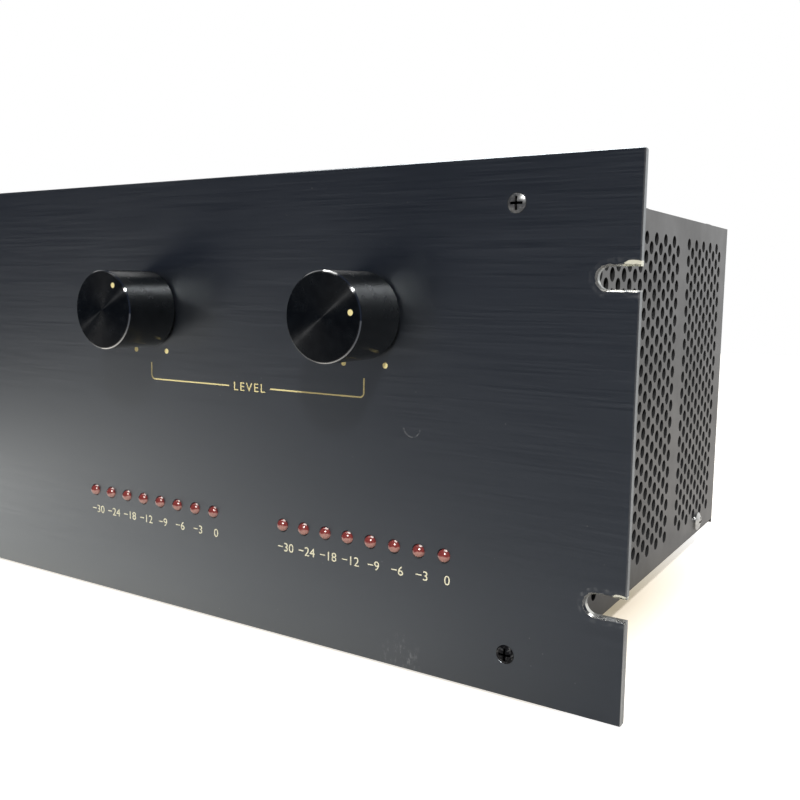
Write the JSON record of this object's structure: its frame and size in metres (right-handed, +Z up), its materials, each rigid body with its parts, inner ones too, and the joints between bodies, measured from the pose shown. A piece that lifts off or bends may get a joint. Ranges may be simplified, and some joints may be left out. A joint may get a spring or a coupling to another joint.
{
  "type": "stereo power amplifier",
  "caption": "Rack-mount stereo power amplifier with a black front panel, open rack slots, turned level knobs above rows of meter lamps, a push power button and perforated sides.",
  "frame": {"origin": "under the middle of the bounding box, on the surface that the feet stand on", "axes": "+X to the right as seen from the front, +Y towards the rear panel, +Z up; the front panel faces -Y"},
  "size_m": [0.4826, 0.2978, 0.178],
  "materials": {
    "panel_black": "brushed black anodised",
    "knob_black": "gloss black anodised, turned",
    "paint_black": "satin black",
    "screw_black": "black oxide",
    "screw_zinc": "bright zinc",
    "steel_plain": "plain",
    "rubber_black": "matt",
    "lamp_red": "tinted, clear",
    "plastic_black": "matt",
    "plastic_red": "matt",
    "board_green": "satin",
    "sink_black": "black anodised",
    "brass_plain": "bright",
    "tape_amber": "taped winding",
    "can_blue": "sleeved",
    "fuse_glass": "clear"
  },
  "bodies": {
    "chassis": {"front_panel": "panel_black", "panel_screws": "screw_black", "side_panel_left": "paint_black", "side_panel_right": "paint_black", "side_screws": "screw_zinc", "lid": "paint_black", "lid_screws": "screw_black", "base_pan": "paint_black", "rear_panel": "paint_black", "rear_screws": "screw_black", "rubber_feet": "rubber_black", "pan_screws": "screw_zinc", "level_pot_left": "steel_plain", "level_pot_right": "steel_plain", "pot_nuts": "steel_plain", "level_lamps_left": "lamp_red", "level_lamps_right": "lamp_red", "meter_board": "board_green", "meter_posts": "brass_plain", "pilot_lamp": "lamp_red", "power_switch": "plastic_black", "switch_bracket": "steel_plain", "bracket_nuts": "steel_plain", "heat_sink_left": "sink_black", "heat_sink_right": "sink_black", "output_transistors_left": "plastic_black", "output_transistors_right": "plastic_black", "amp_board_left": "board_green", "amp_board_right": "board_green", "board_posts": "brass_plain", "ring_transformer": "tape_amber", "transformer_pads": "rubber_black", "transformer_dish": "steel_plain", "transformer_bolt": "screw_zinc", "filter_capacitors": "can_blue", "capacitor_clamps": "steel_plain", "clamp_screws": "screw_zinc", "bridge_rectifier": "plastic_black", "protection_board": "board_green", "mains_inlet": "plastic_black", "fuse_holder": "plastic_black", "mains_fuse": "fuse_glass", "input_jacks": "plastic_black", "speaker_studs": "brass_plain", "speaker_insulators": "plastic_black", "rear_nuts": "steel_plain"},
    "left_level": {"level_knob_left": "knob_black", "grub_screw_left": "screw_black", "pot_shaft_left": "steel_plain"},
    "right_level": {"level_knob_right": "knob_black", "grub_screw_right": "screw_black", "pot_shaft_right": "steel_plain"},
    "power": {"power_button": "plastic_black"},
    "fuse_top": {"fuse_cap": "plastic_black"},
    "post_left_black": {"speaker_cap_left_black": "plastic_black"},
    "post_left_red": {"speaker_cap_left_red": "plastic_red"},
    "post_right_black": {"speaker_cap_right_black": "plastic_black"},
    "post_right_red": {"speaker_cap_right_red": "plastic_red"}
  },
  "joints": [
    {"name": "level_left", "type": "hinge", "parent": "chassis", "child": "left_level", "pos_m": [0.036, -0.1241, 0.1268], "axis": [0, 1, 0], "range_deg": [-184, 116]},
    {"name": "level_right", "type": "hinge", "parent": "chassis", "child": "right_level", "pos_m": [0.1434, -0.1241, 0.1268], "axis": [0, 1, 0], "range_deg": [-231, 69]},
    {"name": "power_press", "type": "slide", "parent": "chassis", "child": "power", "axis": [0, 1, 0], "range_m": [0, 0.003], "stiffness_N_per_m": 400},
    {"name": "fuse_turn", "type": "hinge", "parent": "chassis", "child": "fuse_top", "pos_m": [-0.062, 0.1289, 0.061], "axis": [0, 1, 0], "range_deg": [0, 90]},
    {"name": "post_left_black_turn", "type": "hinge", "parent": "chassis", "child": "post_left_black", "pos_m": [0.0405, 0.1359, 0.061], "axis": [0, 1, 0], "range_deg": [0, 720]},
    {"name": "post_left_red_turn", "type": "hinge", "parent": "chassis", "child": "post_left_red", "pos_m": [0.0595, 0.1359, 0.061], "axis": [0, 1, 0], "range_deg": [0, 720]},
    {"name": "post_right_black_turn", "type": "hinge", "parent": "chassis", "child": "post_right_black", "pos_m": [0.1025, 0.1359, 0.061], "axis": [0, 1, 0], "range_deg": [0, 720]},
    {"name": "post_right_red_turn", "type": "hinge", "parent": "chassis", "child": "post_right_red", "pos_m": [0.1215, 0.1359, 0.061], "axis": [0, 1, 0], "range_deg": [0, 720]}
  ]
}
